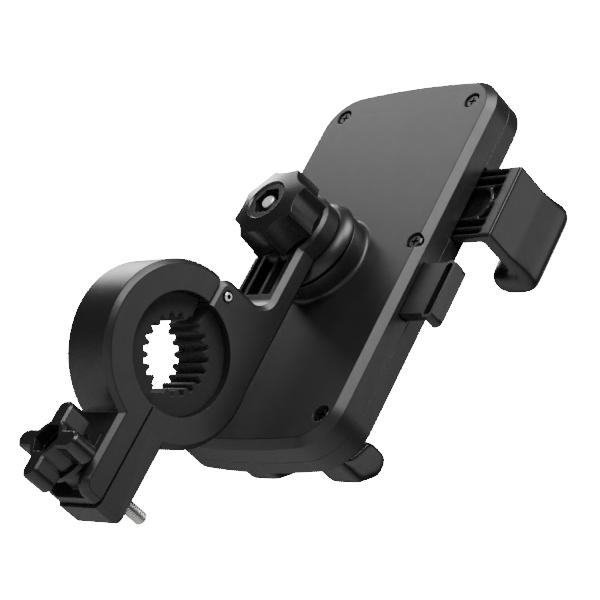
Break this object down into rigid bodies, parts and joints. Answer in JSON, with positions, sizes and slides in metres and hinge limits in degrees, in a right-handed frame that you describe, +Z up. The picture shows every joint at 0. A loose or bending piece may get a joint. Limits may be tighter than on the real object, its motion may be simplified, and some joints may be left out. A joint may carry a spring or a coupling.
{
  "type": "phone mount",
  "caption": "Handlebar phone mount: hinged ridged bar clamp with a star knob, an arm with a ball joint, and a cradle with sprung side jaws, a release tab and lower feet.",
  "frame": {"origin": "centre of the handlebar bore, at half the clamp's width", "axes": "+X along the handlebar, +Z up the arm and the cradle, +Y to the knob side, so the phone lies on the -Y side"},
  "size_m": [0.0976, 0.0911, 0.1702],
  "materials": {
    "moulded_black": "fine moulded grain, satin",
    "rubber_black": "matte",
    "steel": "bright plated",
    "steel_dark": "black zinc",
    "nylon": "natural nylon"
  },
  "bodies": {
    "base": {"clamp_base": "moulded_black", "base_pad": "rubber_black", "hinge_pin": "steel", "ear_nut": "steel", "inner_cup": "nylon", "head_bolt": "steel"},
    "strap": {"clamp_strap": "moulded_black", "strap_pad": "rubber_black"},
    "clamp_washer": {"clamp_washer": "steel_dark"},
    "clamp_screw": {"clamp_knob": "moulded_black", "clamp_bolt": "steel"},
    "head_washer": {"head_washer": "steel_dark"},
    "head_knob": {"head_knob": "moulded_black", "head_nut": "steel_dark"},
    "swivel": {"swivel_collar": "moulded_black"},
    "tilt": {"slip_ring": "nylon"},
    "cradle": {"back_cover": "moulded_black", "front_cover": "moulded_black", "cover_screws": "steel_dark", "phone_pad": "rubber_black", "left_foot": "moulded_black", "right_foot": "moulded_black", "left_foot_pad": "rubber_black", "right_foot_pad": "rubber_black", "jaw_spring": "steel", "release_spring": "steel"},
    "left_jaw": {"left_jaw": "moulded_black", "left_jaw_pad": "rubber_black"},
    "right_jaw": {"right_jaw": "moulded_black", "right_jaw_pad": "rubber_black"},
    "pinion": {"jaw_pinion": "nylon"},
    "tab": {"release_tab": "moulded_black"}
  },
  "joints": [
    {"name": "clamp_washer_slide", "type": "slide", "parent": "base", "child": "clamp_washer", "axis": [0, 1, 0], "range_m": [0, 0.006]},
    {"name": "clamp_knob_spin", "type": "hinge", "parent": "clamp_washer", "child": "clamp_screw", "pos_m": [0, 0.01, -0.0378], "axis": [0, 1, 0], "range_deg": [0, 3091.9]},
    {"name": "strap_hinge", "type": "hinge", "parent": "base", "child": "strap", "pos_m": [0, -0.0038, 0.02095], "axis": [1, 0, 0], "range_deg": [0, 5]},
    {"name": "head_washer_slide", "type": "slide", "parent": "base", "child": "head_washer", "axis": [0, 1, 0], "range_m": [0, 0.0014]},
    {"name": "head_knob_spin", "type": "hinge", "parent": "head_washer", "child": "head_knob", "pos_m": [0, -0.012, 0.0554], "axis": [0, 1, 0], "range_deg": [0, 722]},
    {"name": "cradle_swivel", "type": "hinge", "parent": "base", "child": "swivel", "pos_m": [0, -0.0303, 0.0554], "axis": [0, 1, 0], "continuous": true},
    {"name": "cradle_tilt", "type": "hinge", "parent": "swivel", "child": "tilt", "pos_m": [0, -0.0303, 0.0554], "axis": [1, 0, 0], "range_deg": [-6, 6]},
    {"name": "cradle_pan", "type": "hinge", "parent": "tilt", "child": "cradle", "pos_m": [0, -0.0303, 0.0554], "axis": [0, 0, 1], "range_deg": [-6, 6]},
    {"name": "left_jaw_slide", "type": "slide", "parent": "cradle", "child": "left_jaw", "axis": [1, 0, 0], "range_m": [-0.002, 0.0086]},
    {"name": "right_jaw_slide", "type": "slide", "parent": "cradle", "child": "right_jaw", "axis": [-1, 0, 0], "range_m": [-0.0021, 0.0087]},
    {"name": "pinion_spin", "type": "hinge", "parent": "cradle", "child": "pinion", "pos_m": [0, -0.041, 0.08025], "axis": [0, 1, 0], "range_deg": [-19.5, 82.6]},
    {"name": "release_tab_slide", "type": "slide", "parent": "cradle", "child": "tab", "axis": [1, 0, 0], "range_m": [0, 0.003], "stiffness_N_per_m": 500, "springref_m": -0.002, "deforming": ["release_spring"]}
  ],
  "couplings": [
    {"joint": "clamp_knob_spin", "follows": "clamp_washer_slide", "rad_per_m": 8976},
    {"joint": "strap_hinge", "follows": "clamp_washer_slide", "rad_per_m": 14.286},
    {"joint": "head_knob_spin", "follows": "head_washer_slide", "rad_per_m": 8976},
    {"joint": "right_jaw_slide", "follows": "left_jaw_slide", "ratio": 1},
    {"joint": "pinion_spin", "follows": "left_jaw_slide", "rad_per_m": 166.67}
  ]
}
